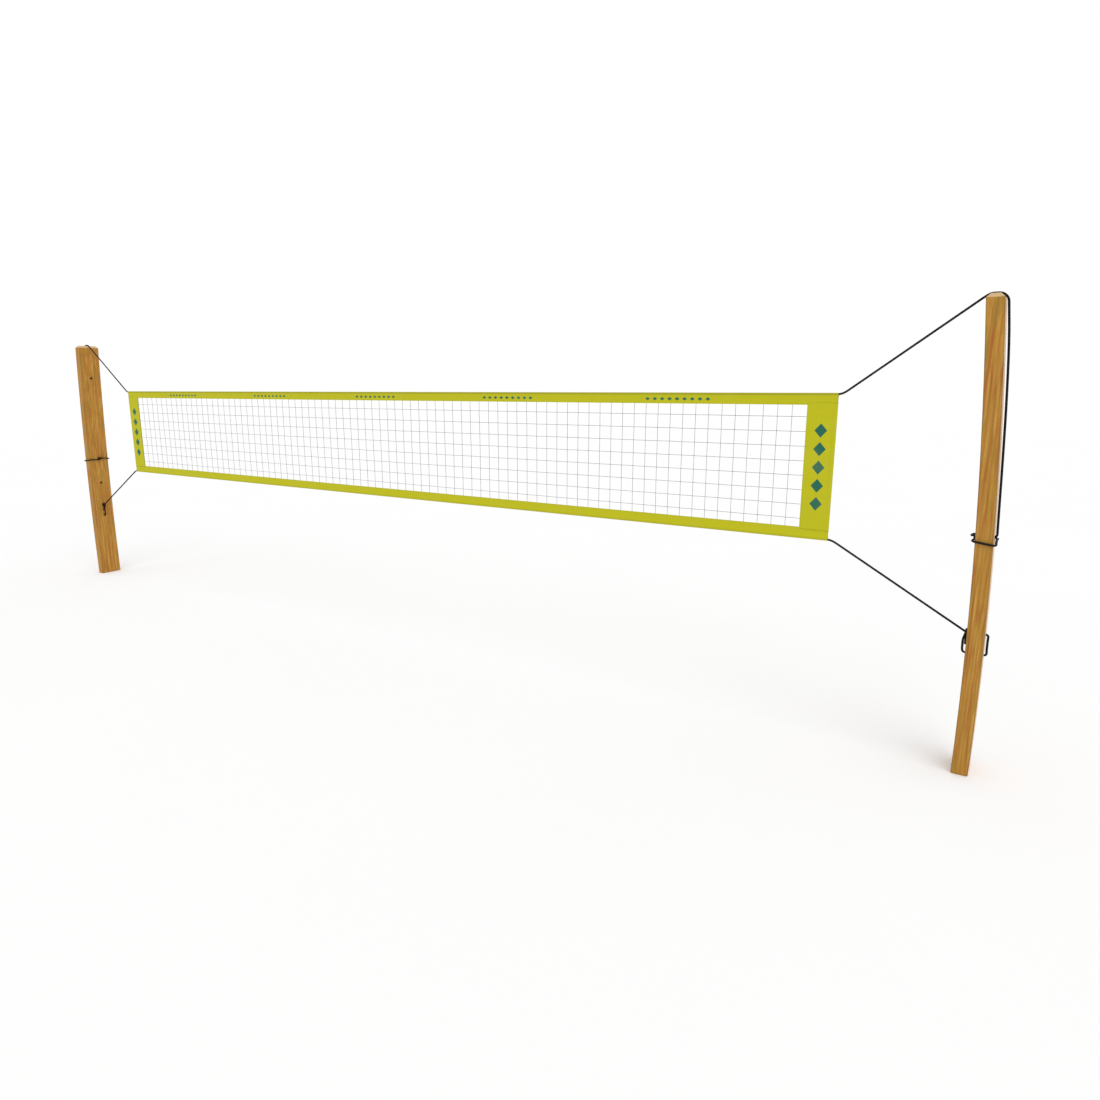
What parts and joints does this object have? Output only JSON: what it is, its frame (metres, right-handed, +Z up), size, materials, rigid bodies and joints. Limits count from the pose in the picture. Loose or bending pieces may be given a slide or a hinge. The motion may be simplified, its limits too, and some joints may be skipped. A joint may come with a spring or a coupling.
{
  "type": "beach volleyball net on posts",
  "caption": "Beach volleyball net with coated hem bands, strung by a head line and a foot line between two inward-bowed timber posts drilled for the lines",
  "frame": {"origin": "on the ground, midway between the two posts, in the plane of the net", "axes": "X along the net towards the right-hand post of the picture, Y away from the camera's side, Z up"},
  "size_m": [10.5514, 0.2811, 3.0166],
  "materials": {
    "timber": "oiled larch timber with straight grain",
    "netting": "black knotted twine",
    "band_fabric": "yellow-green coated polyester strip, sewn",
    "rope": "black braided polyester rope",
    "batten_rod": "pultruded glass-fibre rod",
    "cap_rubber": "moulded rubber cap"
  },
  "bodies": {
    "root": {"left_post": "timber", "right_post": "timber", "net_mesh": "netting", "top_band": "band_fabric", "bottom_band": "band_fabric", "left_side_band": "band_fabric", "right_side_band": "band_fabric", "head_line": "rope", "foot_line": "rope", "left_batten": "batten_rod", "right_batten": "batten_rod", "batten_caps": "cap_rubber"}
  },
  "joints": []
}
